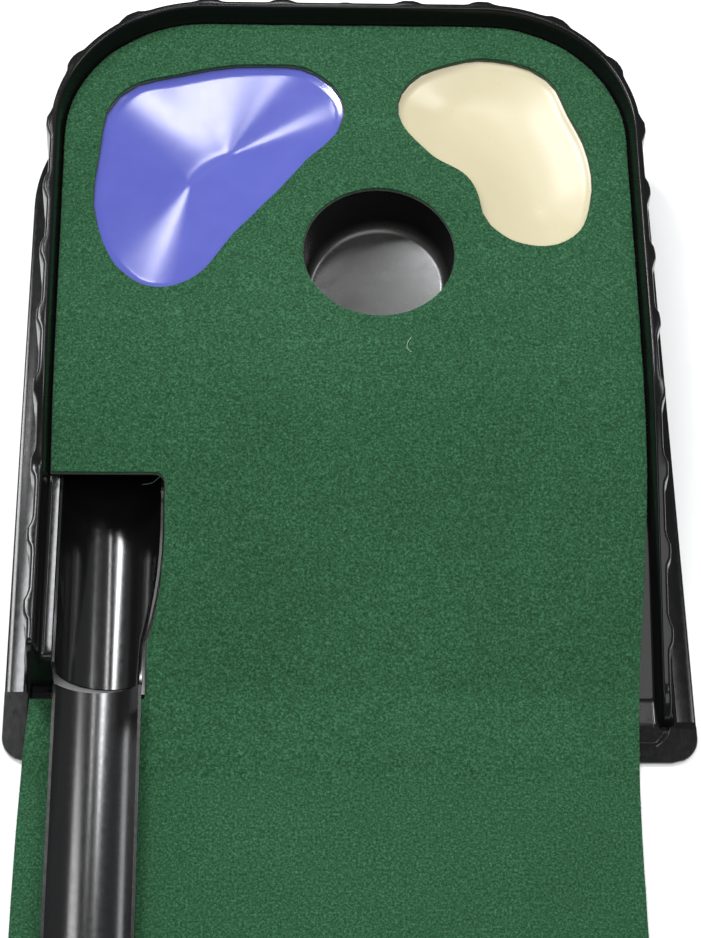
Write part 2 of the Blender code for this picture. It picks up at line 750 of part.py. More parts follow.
def main():
    clear_scene()
    where = collection("putting_mat")
    tray_cuts, cup_cuts, channel_cuts = (collection(n + "_cutters") for n in ("tray", "cup", "channel"))
    black = material("black_moulded_plastic", (0.012, 0.012, 0.012), 0.28)
    grey = material("worn_black_plastic", (0.030, 0.030, 0.028), 0.38)
    blue = material("blue_gloss_plastic", (0.110, 0.125, 0.560), 0.18)
    cream = material("cream_plastic", (0.800, 0.690, 0.450), 0.35)
    green = material("green_pile", (0.030, 0.105, 0.046), 0.95)
    backing = material("pale_backing", (0.300, 0.340, 0.290), 0.90)
    tape = material("cloth_tape", (0.500, 0.480, 0.420), 0.80)
    steel = material("rivet_steel", (0.450, 0.450, 0.450), 0.35, 1.0)

    tray_root = empty("tray_root", (0, ORIGIN_SHIFT, 0))
    tray = sheet("ramp_tray", build_tray, TRAY_SHEET, where, black, tray_root)
    cup = sheet("cup_liner", build_cup, LINER_SHEET, where, grey, tray_root)
    channel = sheet("return_channel", build_channel, LINER_SHEET, where, black, tray_root)
    water, sand = closed_curve(WATER, 3), closed_curve(SAND, 3)
    sheet("water_insert", lambda w: build_insert(water, w), INSERT_SHEET, where, blue, tray_root)
    sheet("sand_insert", lambda w: build_insert(sand, w), INSERT_SHEET, where, cream, tray_root)

    below = [(-0.3, -0.1), (0.3, -0.1), (0.3, 0.7), (-0.3, 0.7)]
    prism("floor_trim", below, -0.020, FLOOR_TRIM, tray_cuts, tray_root)
    prism("cup_hole", circle(CUP_CENTRE, CUP_MOUTH_RADIUS, 48), 0.040, 0.120, tray_cuts, tray_root)
    prism("water_hole", offset(water, 0.0012), 0.040, 0.120, tray_cuts, tray_root)
    prism("sand_hole", offset(sand, 0.0012), 0.040, 0.120, tray_cuts, tray_root)
    for name, x, y in rivet_places():
        tilt = deck_tilt(y)
        rivet = add_mesh(name, lambda w: build_rivet(tilt, w), where, steel, tray_root)
        rivet.location = (x, y, deck(y) + GAP)
        for cutters in (tray_cuts, cup_cuts if name.startswith("cup") else channel_cuts):
            prism("hole_for_" + name, circle((x, y), RIVET_HOLE, 8), 0.030, 0.120, cutters, tray_root)
    way = cup_exit()
    outside = circle(CUP_CENTRE, CUP_MOUTH_RADIUS + LINER_SHEET + 0.0005, 48)
    prism("channel_end", outside, -0.010, 0.120, channel_cuts, tray_root)
    round_rim = circle(CUP_CENTRE, CUP_MOUTH_RADIUS + CUP_RIM + 0.0005, 48)
    rim_low = deck(CUP_CENTRE[1] - CUP_MOUTH_RADIUS - CUP_RIM) - TRAY_SHEET - LINER_SHEET - 3 * GAP
    prism("channel_rim_gap", round_rim, rim_low, 0.130, channel_cuts, tray_root)

    def build_exit(work):
        rows = []
        for reach in (0.040, 0.075):
            place = Vector(CUP_CENTRE) + way * reach
            floor = cup_floor(*place)
            top = deck(place.y) - TRAY_SHEET - 2 * GAP - LINER_SHEET - 0.0006
            row = []
            for i in range(13):
                angle = math.pi * (i / 12 - 0.5)
                shift = CHANNEL_RADIUS * math.sin(angle)
                row.append((place.x - way.y * shift, place.y + way.x * shift, floor + 0.0002 + CHANNEL_RADIUS * (1 - math.cos(angle))))
            for shift in (CHANNEL_RADIUS, -CHANNEL_RADIUS):
                row.append((place.x - way.y * shift, place.y + way.x * shift, top))
            rows.append(row)
        made = loft(work, rows, closed=True)
        work.faces.new(made[0])
        work.faces.new(made[-1])
        bmesh.ops.recalc_face_normals(work, faces=work.faces)

    opening = add_mesh("cup_exit", build_exit, cup_cuts, None, tray_root)
    opening.hide_render = True
    opening.display_type = "WIRE"
    cut(tray, tray_cuts)
    cut(cup, cup_cuts)
    cut(channel, channel_cuts, "MANIFOLD")

    build_tape("mat_tape_front", -0.185, 0.170, 0.012, 0.030, where, tape, tray_root)
    build_tape("mat_tape_right", 0.165, 0.185, 0.070, 0.350, where, tape, tray_root)
    build_tape("mat_tape_left", -0.199, -0.189, 0.290, 0.430, where, tape, tray_root)
    build_tape("mat_tape_back", -0.080, 0.080, 0.534, 0.550, where, tape, tray_root)

    mat_root = empty("mat_root", (0, 0, 0), tray_root)
    green_backing = build_mat("mat_backing_green", 0.0, BACKING, where, backing, mat_root)
    keep_side(green_backing, BACKING_JOIN + GAP / 2, front=False)
    run_backing = build_mat("mat_backing_run", 0.0, BACKING, where, backing, mat_root)
    keep_side(run_backing, BACKING_JOIN - GAP / 2, front=True)
    build_mat("mat_pile", BACKING + GAP, PILE, where, green, mat_root)

    mat_top = MAT_THICKNESS
    level = mat_top + GAP + COUPLER_SHEET + GAP + TRACK_SHEET
    raised = MAT_CLEARANCE + DECK_FLAT + mat_top + 0.0005 + TRACK_SHEET
    y = TRACK_START
    for i in range(1, TRACK_SECTIONS + 1):
        track_root = empty(f"track_root_{i}", (TRACK_X, y, raised if i == 1 else level), mat_root)
        if i == 1:
            track_root.rotation_euler = (math.atan2(raised - level, TRACK_SECTION_LENGTH), 0, 0)
        sheet(f"track_section_{i}", lambda w: build_track(TRACK_SECTION_LENGTH, w), TRACK_SHEET, where, black, track_root)
        y -= TRACK_SECTION_LENGTH + TRACK_GAP
        drop = TRACK_SHEET + GAP
        if i < TRACK_SECTIONS:
            coupler = sheet(f"track_coupler_{i}", build_coupler, COUPLER_SHEET, where, grey, mat_root)
            coupler.location = (TRACK_X, y + TRACK_GAP / 2, level - drop)
            if i == 1:
                coupler.location.z -= 0.00005
        else:
            stop = sheet("track_end_stop", build_end_stop, END_WALL, where, grey, track_root)
            stop.location = (0, -TRACK_SECTION_LENGTH - GAP, -drop)
    for obj in where.objects:
        smooth_round(obj)


main()
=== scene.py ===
"""Practice putting mat: finished surfaces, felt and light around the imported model.

Lengths are in metres. Shapes are drawn in the tray's own frame, where y = 0 is the tray's
front lip, and moved to the model's frame by TRAY_Y when their mesh is made.
"""

import math
import random

import bmesh
import bpy
from mathutils import Matrix, Vector, noise


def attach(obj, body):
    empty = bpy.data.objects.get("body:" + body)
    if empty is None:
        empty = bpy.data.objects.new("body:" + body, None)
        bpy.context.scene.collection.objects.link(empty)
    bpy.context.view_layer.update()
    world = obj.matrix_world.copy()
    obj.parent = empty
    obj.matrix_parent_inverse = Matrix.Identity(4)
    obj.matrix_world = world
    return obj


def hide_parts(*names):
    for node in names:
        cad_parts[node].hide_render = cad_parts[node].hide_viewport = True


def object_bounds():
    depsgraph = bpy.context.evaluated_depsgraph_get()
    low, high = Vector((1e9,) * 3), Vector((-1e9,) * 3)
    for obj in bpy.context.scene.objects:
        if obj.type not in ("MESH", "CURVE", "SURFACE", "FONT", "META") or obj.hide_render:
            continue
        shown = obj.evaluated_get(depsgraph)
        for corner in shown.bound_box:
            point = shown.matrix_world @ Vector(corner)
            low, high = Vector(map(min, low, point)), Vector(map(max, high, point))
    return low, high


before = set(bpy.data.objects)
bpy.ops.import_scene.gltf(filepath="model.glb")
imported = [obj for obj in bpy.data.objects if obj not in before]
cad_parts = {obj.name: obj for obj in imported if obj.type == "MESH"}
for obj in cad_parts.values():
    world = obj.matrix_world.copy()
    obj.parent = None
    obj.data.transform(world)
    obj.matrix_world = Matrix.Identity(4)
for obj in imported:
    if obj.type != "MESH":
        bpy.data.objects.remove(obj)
cad_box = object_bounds()

# Tray sizes
SHEET = 0.0016
FLOOR_Z = 0.0016
FOOT_HALF = 0.2025
KERB_HEIGHT = 0.0195
KERB_DRAFT = 0.0030
KERB_OUT = 0.0082
KERB_SKIRT = 0.0035
FLANGE_OUT = 0.0260
FLUTE_DEPTH = 0.0030
FLUTE_PITCH = 0.0536
FLUTE_WIDTH = 0.023
BACK_FOOT = 0.5575
TRAY_Y = cad_box[1][1] - (BACK_FOOT + FLANGE_OUT)
CORNER = 0.102
LEDGE_FRONT = 0.0512
TROUGH_X = -0.1600
TROUGH_RADIUS = 0.0330
TROUGH_FRONT = 0.0495
SLOT_FRONT = 0.0489
SLOT_BACK = 0.2250
LEDGE_EDGE_X = -0.1953
# Mat sizes
EDGE_FIBRES = 2400  # to a metre of cut edge
FIBRE_ENDS = 15000  # over the green and the ramp
MAT_HALF = 0.2015
MAT_FRONT = -2.1835
MAT_BACK = 0.5565
MAT_CLEARANCE = 0.0011
BACKING = 0.0015
PILE = 0.0018
# Cup and dishes
CUP = (0.0218, 0.359)
CUP_HOLE = 0.0530
CUP_MOUTH = 0.0545
CUP_EXIT = (-0.788, -0.616)
CUP_FLOOR_TILT = 0.145
CUP_FLOOR_Z = 0.0330
DISH_DEPTH = 0.0105
DISH_WALL = 0.09
DISH_OPENING = 0.0012
# Outlines of the two hazards
WATER = [
    (-0.163, 0.492), (-0.118, 0.511), (-0.057, 0.520), (-0.022, 0.513), (-0.0016, 0.478),
    (-0.033, 0.431), (-0.080, 0.373), (-0.110, 0.335), (-0.130, 0.328), (-0.151, 0.335),
    (-0.175, 0.376), (-0.176, 0.441),
]
SAND = [
    (0.038, 0.478), (0.047, 0.506), (0.077, 0.523), (0.108, 0.527), (0.146, 0.511),
    (0.160, 0.480), (0.173, 0.441), (0.172, 0.400), (0.160, 0.374), (0.132, 0.365),
    (0.102, 0.381), (0.088, 0.420), (0.058, 0.445),
]
# The line of lowest points in each dish: short in the water's, so that its slopes fan out
WATER_VALLEY = [(-0.086, 0.449), (-0.099, 0.441), (-0.111, 0.427)]
SAND_VALLEY = [(0.080, 0.486), (0.092, 0.484), (0.110, 0.470), (0.124, 0.442), (0.131, 0.412)]


# ------------------------------------------------------------------ heights
def smooth(t):
    t = min(max(t, 0.0), 1.0)
    return t * t * (3 - 2 * t)


def deck(y):
    """Top of the tray's deck: flat lip, ramp, then the gently rising green."""
    a, b = FLOOR_Z, 0.34 * (y - 0.042)
    ramp = (a + b + math.sqrt((a - b) ** 2 + 0.001**2)) / 2
    green = 0.0546 + 0.055 * y
    return max(FLOOR_Z, (ramp + green - math.sqrt((ramp - green) ** 2 + 0.008**2)) / 2)


def ledge_share(y):
    """0 on the floor before the ledge's front face, 1 on the ledge."""
    steps = [(0.0504, 0.0), (0.0508, 0.45), (0.0512, 0.80), (0.0517, 0.93), (0.0527, 0.985), (0.0545, 1.0)]
    if y <= steps[0][0]:
        return 0.0
    for (y0, s0), (y1, s1) in zip(steps, steps[1:]):
        if y <= y1:
            return s0 + (s1 - s0) * (y - y0) / (y1 - y0)
    return 1.0


def ledge(y):
    high = max(deck(y), 0.0463 + 0.018 * (y - LEDGE_FRONT))
    return deck(y) + (high - deck(y)) * ledge_share(y)


def mat_base(y):
    """Underside of the mat."""
    return (deck(max(y, 0.006)) + MAT_CLEARANCE) * smooth((y + 0.016) / 0.022)


def drift(y):
    """How far the mat lies off to the left, out of the kerbs."""
    return 0.0 if y > 0.210 else -0.0155 * (1 - math.exp(-(((0.210 - y) / 0.160) ** 2)))


def trough_right(y):
    """x of the open trough's right rim."""
    bottom = 0.0078 + 0.0012 * (y - TROUGH_FRONT) / (SLOT_BACK - TROUGH_FRONT)
    rise = min(max(deck(y) + 0.0040, bottom + 0.0085) - bottom, TROUGH_RADIUS)
    return TROUGH_X + math.sqrt(TROUGH_RADIUS**2 - (TROUGH_RADIUS - rise) ** 2)


def notch_edge(y):
    return trough_right(y) + 0.0022


# ------------------------------------------------------------------ mesh helpers
def between(low, high, step):
    count = max(1, round((high - low) / step))
    return [low + (high - low) * i / count for i in range(count + 1)]


def only(obj):
    bpy.ops.object.select_all(action="DESELECT")
    obj.select_set(True)
    bpy.context.view_layer.objects.active = obj


def make(name, build, look, body, merge=1e-6):
    """A new piece whose mesh the function build draws in the tray's frame."""
    mesh = bpy.data.meshes.new(name)
    work = bmesh.new()
    build(work)
    bmesh.ops.remove_doubles(work, verts=work.verts, dist=merge)
    bmesh.ops.recalc_face_normals(work, faces=work.faces)
    bmesh.ops.translate(work, verts=work.verts, vec=(0, TRAY_Y, 0))
    work.to_mesh(mesh)
    work.free()
    obj = bpy.data.objects.new(name, mesh)
    bpy.context.scene.collection.objects.link(obj)
    mesh.materials.append(look)
    if body:
        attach(obj, body)
    return obj


def finish(obj, kind, **settings):
    """Adds a modifier and applies it."""
    made = obj.modifiers.new(kind.title(), kind)
    for key, value in settings.items():
        setattr(made, key, value)
    only(obj)
    bpy.ops.object.modifier_apply(modifier=made.name)


def turn_up(obj):
    """Turns an open sheet so that its widest level face looks up."""
    level = max(obj.data.polygons, key=lambda p: abs(p.normal.z) * p.area)
    if level.normal.z < 0:
        obj.data.flip_normals()


def wall(obj, thickness):
    turn_up(obj)
    finish(obj, "SOLIDIFY", thickness=thickness, offset=-1, use_even_offset=True)


def soft_shade(obj, degrees=35):
    only(obj)
    bpy.ops.object.shade_smooth_by_angle(angle=math.radians(degrees))


def loft(work, rows, closed=False):
    made = [[work.verts.new(point) for point in row] for row in rows]
    for first, second in zip(made, made[1:]):
        count = len(first) if closed else len(first) - 1
        for i in range(count):
            j = (i + 1) % len(first)
            work.faces.new((first[i], first[j], second[j], second[i]))
    return made


def closed_curve(points, steps):
    """Points of a smooth closed curve through the given ones, anticlockwise."""
    curve = bpy.data.curves.new("guide", "CURVE")
    spline = curve.splines.new("BEZIER")
    spline.bezier_points.add(len(points) - 1)
    for knot, point in zip(spline.bezier_points, points):
        knot.co = (*point, 0)
        knot.handle_left_type = knot.handle_right_type = "AUTO"
    spline.use_cyclic_u = True
    spline.resolution_u = steps
    guide = bpy.data.objects.new("guide", curve)
    bpy.context.scene.collection.objects.link(guide)
    bpy.context.view_layer.update()
    mesh = guide.evaluated_get(bpy.context.evaluated_depsgraph_get()).to_mesh()
    found = [(v.co.x, v.co.y) for v in mesh.vertices]
    bpy.data.objects.remove(guide)
    area = sum(a[0] * b[1] - b[0] * a[1] for a, b in zip(found, found[1:] + found[:1]))
    return found if area > 0 else found[::-1]


def offset(outline, distance):
    moved = []
    for i, here in enumerate(outline):
        along = (Vector(outline[(i + 1) % len(outline)]) - Vector(outline[i - 1])).normalized()
        moved.append((here[0] + along.y * distance, here[1] - along.x * distance))
    return moved


def circle(centre, radius, count):
    turn = [2 * math.pi * i / count for i in range(count)]
    return [(centre[0] + radius * math.cos(a), centre[1] + radius * math.sin(a)) for a in turn]


def refined(node, name, look, body, degrees=40):
    """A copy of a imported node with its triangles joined, so that its curves shade smoothly."""
    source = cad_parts[node]
    source = source if hasattr(source, "data") else bpy.data.objects[node]
    mesh = source.data.copy()
    obj = bpy.data.objects.new(name, mesh)
    bpy.context.scene.collection.objects.link(obj)
    work = bmesh.new()
    work.from_mesh(mesh)
    bmesh.ops.remove_doubles(work, verts=work.verts, dist=2e-6)
    bmesh.ops.dissolve_limit(work, angle_limit=math.radians(0.4), verts=work.verts, edges=work.edges)
    work.to_mesh(mesh)
    work.free()
    mesh.materials.clear()
    mesh.materials.append(look)
    soft_shade(obj, degrees)
    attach(obj, body)
    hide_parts(node)
    return obj


# ------------------------------------------------------------------ materials
class Look:
    """A material whose nodes are added one after another."""

    def __init__(self, name, colour, roughness, **sockets):
        self.material = bpy.data.materials.new(name)
        self.material.use_nodes = True
        self.tree = self.material.node_tree
        self.shader = self.tree.nodes["Principled BSDF"]
        self.place = self.node("ShaderNodeTexCoord").outputs["Object"]
        self.shader.inputs["Base Color"].default_value = (*colour, 1)
        self.shader.inputs["Roughness"].default_value = roughness
        for key, value in sockets.items():
            self.shader.inputs[key.replace("_", " ")].default_value = value

    def node(self, kind, **settings):
        made = self.tree.nodes.new(kind)
        for key, value in settings.items():
            setattr(made, key, value)
        return made

    def link(self, source, target):
        self.tree.links.new(source, target)

    def noise(self, scale, detail=3.0, roughness=0.55, stretch=None):
        made = self.node("ShaderNodeTexNoise")
        made.inputs["Scale"].default_value = scale
        made.inputs["Detail"].default_value = detail
        made.inputs["Roughness"].default_value = roughness
        if stretch:
            mapping = self.node("ShaderNodeMapping")
            mapping.inputs["Scale"].default_value = stretch
            self.link(self.place, mapping.inputs["Vector"])
            self.link(mapping.outputs["Vector"], made.inputs["Vector"])
        else:
            self.link(self.place, made.inputs["Vector"])
        return made.outputs["Fac"]

    def ramp(self, factor, stops):
        made = self.node("ShaderNodeValToRGB")
        elements = made.color_ramp.elements
        while len(elements) < len(stops):
            elements.new(0.5)
        for element, (position, colour) in zip(elements, stops):
            element.position = position
            element.color = (*colour, 1) if len(colour) == 3 else colour
        self.link(factor, made.inputs["Fac"])
        return made.outputs["Color"]

    def range(self, factor, low, high, from_low=0.3, from_high=0.7):
        made = self.node("ShaderNodeMapRange")
        ends = {"From Min": from_low, "From Max": from_high, "To Min": low, "To Max": high}
        for key, value in ends.items():
            made.inputs[key].default_value = value
        self.link(factor, made.inputs["Value"])
        return made.outputs["Result"]

    def mix(self, factor, first, second, blend="MIX"):
        made = self.node("ShaderNodeMix", data_type="RGBA", blend_type=blend)
        if isinstance(factor, float):
            made.inputs["Factor"].default_value = factor
        else:
            self.link(factor, made.inputs["Factor"])
        for socket, value in (("A", first), ("B", second)):
            target = [s for s in made.inputs if s.name == socket and s.type == "RGBA"][0]
            if isinstance(value, tuple):
                target.default_value = (*value, 1)
            else:
                self.link(value, target)
        return [s for s in made.outputs if s.type == "RGBA"][0]

    def colour(self, source):
        self.link(source, self.shader.inputs["Base Color"])

    def roughness(self, source):
        self.link(source, self.shader.inputs["Roughness"])

    def bump(self, height, strength, distance):
        made = self.node("ShaderNodeBump")
        made.inputs["Strength"].default_value = strength
        made.inputs["Distance"].default_value = distance
        if self.shader.inputs["Normal"].links:
            self.link(self.shader.inputs["Normal"].links[0].from_socket, made.inputs["Normal"])
        self.link(height, made.inputs["Height"])
        self.link(made.outputs["Normal"], self.shader.inputs["Normal"])


def black_plastic(name, tone, roughness, gloss=0.55):
    """Thin formed sheet: nearly black, with a slight ripple, dust and handling marks."""
    look = Look(name, (tone,) * 3, roughness, Specular_IOR_Level=gloss)
    dust = look.noise(240.0, 4.0, 0.7)
    broad = look.noise(11.0, 1.0)
    rub = look.noise(60.0, 5.0, 0.75, stretch=(1.0, 0.25, 1.0))
    rubbed = look.range(rub, 0.0, 0.35, 0.52, 0.8)
    look.colour(look.mix(rubbed, (tone,) * 3, (tone * 1.8, tone * 1.8, tone * 1.75)))
    look.roughness(look.range(dust, roughness - 0.02, roughness + 0.05))
    look.bump(broad, 0.10, 0.0010)
    return look.material


def cup_sheet():
    """The cup's sheet: near black on the wall, a lighter grey on its sloping floor: partly dust, partly
    painted light where the floor is lit.
    """
    look = Look("cup_dark_sheet", (0.022,) * 3, 0.26, Specular_IOR_Level=0.5)
    above = look.node("ShaderNodeVectorMath", operation="DOT_PRODUCT")
    above.inputs[1].default_value = (CUP_FLOOR_TILT * CUP_EXIT[0], CUP_FLOOR_TILT * CUP_EXIT[1], 1.0)
    look.link(look.place, above.inputs[0])
    centre = CUP_FLOOR_TILT * (CUP[0] * CUP_EXIT[0] + (CUP[1] + TRAY_Y) * CUP_EXIT[1])
    floor = CUP_FLOOR_Z + centre
    # Floor mask by height: the floor is painted lighter than the wall, part dust and part painted light on
    # the lit floor.
    floor_dust_and_light = look.range(above.outputs["Value"], 1.0, 0.0, floor + 0.002, floor + 0.009)
    cloud = look.noise(34.0, 4.0, 0.65)
    dust_and_light_tone = look.ramp(cloud, [(0.35, (0.019, 0.019, 0.0175)), (0.65, (0.030, 0.030, 0.0275))])
    look.colour(look.mix(floor_dust_and_light, (0.0035,) * 3, dust_and_light_tone))
    look.roughness(look.range(look.noise(90.0, 3.0), 0.22, 0.30))
    return look.material


def felt():
    """Needle-punched pile: dark and light fibre ends, mottled, with a soft sheen."""
    look = Look(
        "green_felt", (0.024, 0.090, 0.040), 0.95,
        Specular_IOR_Level=0.18, Sheen_Weight=0.12, Sheen_Roughness=0.5,
    )
    look.shader.inputs["Sheen Tint"].default_value = (0.35, 0.75, 0.45, 1)
    tips = look.noise(620.0, 3.0, 0.8)
    clumps = look.noise(330.0, 3.0, 0.7)
    patches = look.noise(9.0, 3.0, 0.6)
    deep, middle, light = (0.0048, 0.026, 0.0095), (0.0175, 0.072, 0.030), (0.058, 0.175, 0.088)
    base = look.ramp(tips, [(0.30, deep), (0.50, middle), (0.72, light)])
    mottle = look.ramp(clumps, [(0.32, (0.80, 0.82, 0.80)), (0.68, (1.16, 1.14, 1.16))])
    shade = look.ramp(patches, [(0.3, (0.90, 0.92, 0.90)), (0.7, (1.08, 1.06, 1.08))])
    mottled = look.mix(1.0, base, mottle, "MULTIPLY")
    look.colour(look.mix(1.0, mottled, shade, "MULTIPLY"))
    look.bump(clumps, 0.3, 0.0008)
    look.bump(tips, 0.6, 0.0006)
    return look.material


def fibre():
    look = Look("loose_fibre", (0.040, 0.140, 0.066), 0.8, Specular_IOR_Level=0.3)
    strands = look.noise(300.0, 2.0)
    look.colour(look.ramp(strands, [(0.3, (0.016, 0.062, 0.026)), (0.7, (0.080, 0.220, 0.120))]))
    return look.material


def pale_fibre():
    look = Look("pale_fibre", (0.42, 0.46, 0.40), 0.7)
    strands = look.noise(200.0, 2.0)
    look.colour(look.ramp(strands, [(0.3, (0.30, 0.36, 0.29)), (0.7, (0.55, 0.58, 0.50))]))
    return look.material


def backing():
    look = Look("latex_backing", (0.045, 0.065, 0.045), 0.9)
    grain = look.noise(700.0, 3.0, 0.7)
    look.colour(look.ramp(grain, [(0.3, (0.030, 0.048, 0.032)), (0.7, (0.060, 0.082, 0.058))]))
    look.bump(grain, 0.5, 0.0004)
    return look.material


def blue_sheet():
    look = Look("water_blue", (0.065, 0.075, 0.410), 0.13, Specular_IOR_Level=0.6)
    cloud = look.noise(22.0, 3.0, 0.6)
    look.colour(look.ramp(cloud, [(0.25, (0.072, 0.085, 0.370)), (0.75, (0.090, 0.104, 0.410))]))
    look.roughness(look.range(look.noise(180.0, 4.0, 0.7), 0.12, 0.15))
    look.bump(look.noise(16.0, 1.0), 0.05, 0.0006)
    return look.material


def cream_sheet():
    look = Look("sand_cream", (0.58, 0.525, 0.350), 0.30, Specular_IOR_Level=0.5)
    cloud = look.noise(18.0, 3.0, 0.6)
    look.colour(look.ramp(cloud, [(0.25, (0.520, 0.465, 0.305)), (0.75, (0.550, 0.494, 0.328))]))
    look.roughness(look.range(look.noise(200.0, 4.0, 0.7), 0.27, 0.33))
    look.bump(look.noise(20.0, 1.0), 0.06, 0.0008)
    return look.material


def tape():
    look = Look("cloth_tape", (0.50, 0.48, 0.42), 0.8)
    weave = look.noise(900.0, 2.0, 0.5, stretch=(1.0, 0.2, 1.0))
    look.colour(look.ramp(weave, [(0.3, (0.40, 0.38, 0.33)), (0.7, (0.56, 0.54, 0.48))]))
    look.bump(weave, 0.4, 0.0002)
    return look.material


def metal():
    look = Look("rivet_aluminium", (0.52, 0.52, 0.52), 0.35, Metallic=1.0)
    look.roughness(look.range(look.noise(500.0, 3.0), 0.28, 0.45))
    return look.material


# ------------------------------------------------------------------ tray
def flute(distance):
    if distance < 0.060:
        return 0.0
    away = abs((distance / FLUTE_PITCH) % 1 - 0.5) * FLUTE_PITCH
    return smooth((FLUTE_WIDTH / 2 - away) / (FLUTE_WIDTH * 0.36))


def front_lip(x, y):
    """Raised band along the tray's front edge and round its front corners."""
    half, radius, edge = 0.2110, 0.025, 0.0085
    dx, dy = abs(x) - (half - radius), (edge + radius) - y
    inside = math.hypot(max(dx, 0.0), max(dy, 0.0)) - radius if dx > 0 or dy > 0 else -radius
    return 0.0013 * smooth((inside + 0.0012) / 0.0024)


def kerb_row(side, place, out, distance, round_front=True):
    """One cross-section from the deck, over the kerb, to the flange's edge."""
    x, y = place
    if side < 0:
        share, foot = ledge_share(y), ledge(y)
        top = foot + KERB_HEIGHT * share
    else:
        t = min(max((y - 0.026) / 0.020, 0.0), 1.0)
        share, foot = math.sqrt(1 - (1 - t) ** 2), deck(y)
        top = foot + share * KERB_HEIGHT
    rise = top - foot
    soft = min(rise, 0.0024) / 0.0024
    b = FLUTE_DEPTH * flute(distance) * share
    draft, outer, floor = KERB_DRAFT, KERB_OUT + b, FLOOR_Z
    fall = top - floor
    rows = [
        (-0.0026, foot), (-0.0010, foot + 0.00025 * soft), (0.0002, foot + 0.0012 * soft),
        (draft * 0.5, foot + rise * 0.5), (draft - 0.0002, top - 0.0021 * soft),
        (draft + 0.0002, top - 0.0008 * soft), (draft + 0.0009, top - 0.00015 * soft), (draft + 0.0017, top),
        (outer - 0.0017, top), (outer - 0.0009, top - 0.00015 * soft),
        (outer - 0.0002, top - 0.0008 * soft), (outer + 0.0002, top - 0.0022 * soft),
    ]
    for f in (0.30, 0.55, 0.80):
        skirt = KERB_OUT + KERB_SKIRT * f + b * (1 - 0.75 * f) + 0.0003
        rows.append((skirt, floor + fall * (1 - f) + 0.0001))
    rest = KERB_OUT + KERB_SKIRT + b * 0.2
    low = min(fall, 0.0016)
    rows += [
        (rest - 0.0003, floor + low * 0.8), (rest + 0.0006, floor + low * 0.2), (rest + 0.0022, floor),
        (FLANGE_OUT - 0.0040, floor), (FLANGE_OUT - 0.0012, floor), (FLANGE_OUT - 0.0003, floor - 0.0003),
        (FLANGE_OUT, floor - 0.0011),
    ]
    reach = 1.0
    if y < 0.018 and out[1] == 0:
        reach = (FLANGE_OUT - (0.018 - math.sqrt(0.018**2 - (0.018 - y) ** 2))) / FLANGE_OUT
    points = []
    for shift, z in rows:
        shift = shift * reach if shift > 0 else shift
        px, py = x + out[0] * shift, y + out[1] * shift
        if out[1] == 0 and share < 0.02:
            z = floor - (0.0011 if shift >= FLANGE_OUT * reach - 1e-6 else 0.0) + front_lip(px, py)
        points.append((px, py, z))
    return points


TRAY_YS = sorted(
    {round(y, 5) for y in between(0.0, 0.048, 0.002)}
    | {0.0504, 0.0508, 0.0512, 0.0517, 0.0527, 0.0545, SLOT_FRONT, SLOT_BACK}
    | {round(y, 5) for y in between(0.057, 0.453, 0.0045)}
)


def build_tray(work):
    left, right, back = [], [], []
    for side, rows in ((-1, left), (1, right)):
        for y in TRAY_YS:
            rows.append(kerb_row(side, (side * FOOT_HALF, y), (side, 0.0), y))
        centre_x, centre_y = FOOT_HALF - CORNER, BACK_FOOT - CORNER
        for i in range(41):
            angle = math.pi / 2 * i / 40
            out = (side * math.cos(angle), math.sin(angle) if i else 1e-9)
            place = (side * centre_x + CORNER * out[0], centre_y + CORNER * out[1])
            rows.append(kerb_row(side, place, out, centre_y + CORNER * angle))
    half = FOOT_HALF - CORNER
    start = BACK_FOOT - CORNER + CORNER * math.pi / 2
    for x in between(-half, half, 0.0034):
        back.append(kerb_row(1, (x, BACK_FOOT), (0.0, 1.0), start + half - abs(x)))
    loft(work, left)
    loft(work, right)
    loft(work, back)
    for i in range(len(left) - 1):
        a, b, c, d = left[i][0], left[i + 1][0], right[i + 1][0], right[i][0]
        if in_slot(a[1]) and in_slot(b[1]) and in_slot(c[1]):
            (la, ra), (lb, rb) = slot_points(a[1]), slot_points(b[1])
            rings = [[a, la, lb, b], [ra, d, c, rb]]
        else:
            ring = [a, *slot_points(a[1]), d, c]
            if i == len(left) - 2:
                ring += [row[0] for row in back[-2:0:-1]]
            else:
                ring += slot_points(b[1])[::-1]
            rings = [[*ring, b]]
        for points in rings:
            work.faces.new([work.verts.new(p) for p in points])


def punch(obj, outline):
    """Cuts an opening of this outline through the deck."""

    def build(work):
        made = loft(work, [[(x, y, z) for x, y in outline] for z in (0.045, 0.120)], closed=True)
        work.faces.new(made[0])
        work.faces.new(made[-1])

    cutter = make("punch", build, obj.data.materials[0], None)
    finish(obj, "BOOLEAN", operation="DIFFERENCE", solver="EXACT", object=cutter)
    bpy.data.objects.remove(cutter)


def in_slot(y):
    return SLOT_FRONT - 1e-7 <= y <= SLOT_BACK + 1e-7


def slot_points(y):
    if not in_slot(y):
        return []
    hidden = 0.0009 if y > 0.190 else 0.0
    lip = 0.0006 * smooth((y - 0.053) / 0.006) * smooth((0.190 - y) / 0.006)
    return [(LEDGE_EDGE_X - hidden, y, ledge(y) + lip), (notch_edge(y) - 0.0003 + hidden, y, deck(y))]


# ------------------------------------------------------------------ dishes
# Where a dish has its rings, as shares of the way from its edge to its lowest line
DISH_SHARES = (
    0.02, 0.045, 0.075, 0.11, 0.15, 0.20, 0.27, 0.35, 0.44, 0.53,
    0.62, 0.70, 0.77, 0.83, 0.88, 0.92, 0.95, 0.975, 1.0,
)


def nearest_on(line, point):
    best = None
    here = Vector(point)
    for a, b in zip(line, line[1:]):
        a, b = Vector(a), Vector(b)
        t = min(max((here - a).dot(b - a) / (b - a).length_squared, 0.0), 1.0)
        spot = a + (b - a) * t
        gap = (here - spot).length
        if best is None or gap < best[0]:
            best = (gap, spot)
    return best[1]


